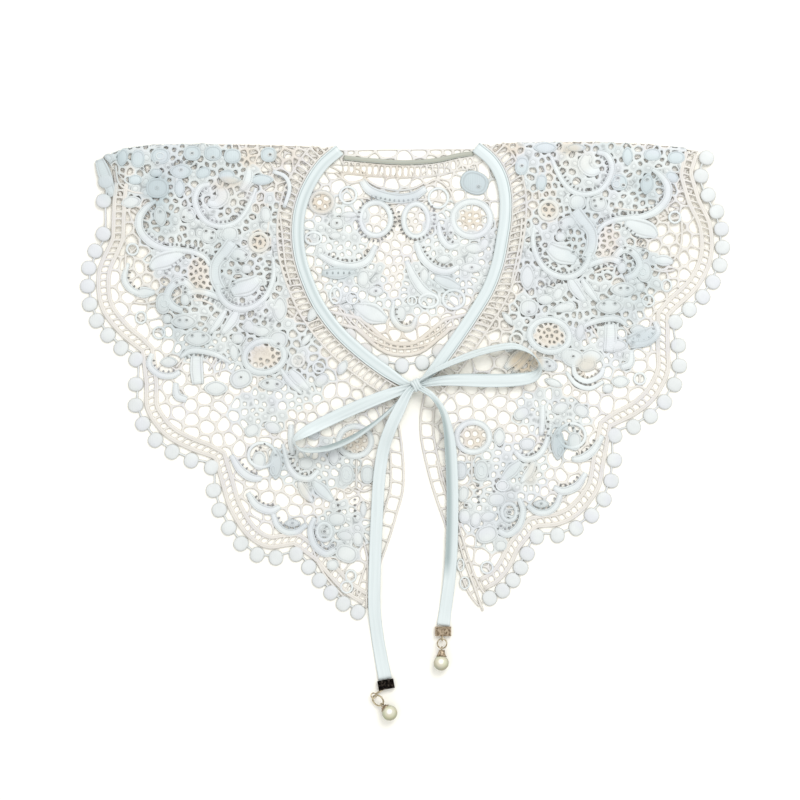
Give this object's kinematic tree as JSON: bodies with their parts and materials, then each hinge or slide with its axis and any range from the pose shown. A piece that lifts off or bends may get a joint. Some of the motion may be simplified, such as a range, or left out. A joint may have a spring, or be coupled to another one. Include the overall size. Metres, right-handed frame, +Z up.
{
  "type": "lace collar",
  "caption": "Scalloped guipure lace collar laid flat, folded at the shoulders, with a ribbon-bound neck tied in a bow and pearl drops on both tails.",
  "frame": {"origin": "middle of the underside, on the surface the collar lies on", "axes": "+X across the shoulders, +Y from the bow's tails to the shoulder fold, +Z up off the surface"},
  "size_m": [0.4707, 0.4166, 0.0134],
  "materials": {
    "lace": "off-white cotton guipure lace, satin-stitched motifs",
    "ribbon": "pale aqua-white satin ribbon",
    "clamp_metal": "antiqued dark brass, rubbed bright at its edges",
    "ring_metal": "antiqued brass wire",
    "pearl": "cream pearl lacquer"
  },
  "bodies": {
    "collar": {"lace_back": "lace", "lace_front_left": "lace", "lace_front_right": "lace", "binding_left": "ribbon", "binding_right": "ribbon", "binding_back": "ribbon", "bow_loop_left": "ribbon", "bow_loop_right": "ribbon", "bow_knot": "ribbon", "tail_left": "ribbon", "tail_right": "ribbon", "left_clamp": "clamp_metal", "right_clamp": "clamp_metal"},
    "left_ring": {"left_jump_ring": "ring_metal"},
    "left_drop": {"left_bead_cap": "ring_metal", "left_pearl": "pearl"},
    "right_ring": {"right_jump_ring": "ring_metal"},
    "right_drop": {"right_bead_cap": "ring_metal", "right_pearl": "pearl"}
  },
  "joints": [
    {"name": "left_ring_swing", "type": "hinge", "parent": "collar", "child": "left_ring", "pos_m": [-0.02276, -0.19049, 0.0042], "axis": [0, 0, 1], "range_deg": [-26, 26]},
    {"name": "left_pearl_lift", "type": "hinge", "parent": "left_ring", "child": "left_drop", "pos_m": [-0.01667, -0.19725, 0.00423], "axis": [-0.478, -0.43, -0.7659], "range_deg": [0, 70]},
    {"name": "right_ring_swing", "type": "hinge", "parent": "collar", "child": "right_ring", "pos_m": [0.02648, -0.1494, 0.0032], "axis": [0, 0, 1], "range_deg": [-26, 26]},
    {"name": "right_pearl_lift", "type": "hinge", "parent": "right_ring", "child": "right_drop", "pos_m": [0.02622, -0.15669, 0.00323], "axis": [-0.9994, 0.035, 0], "range_deg": [0, 70]}
  ]
}
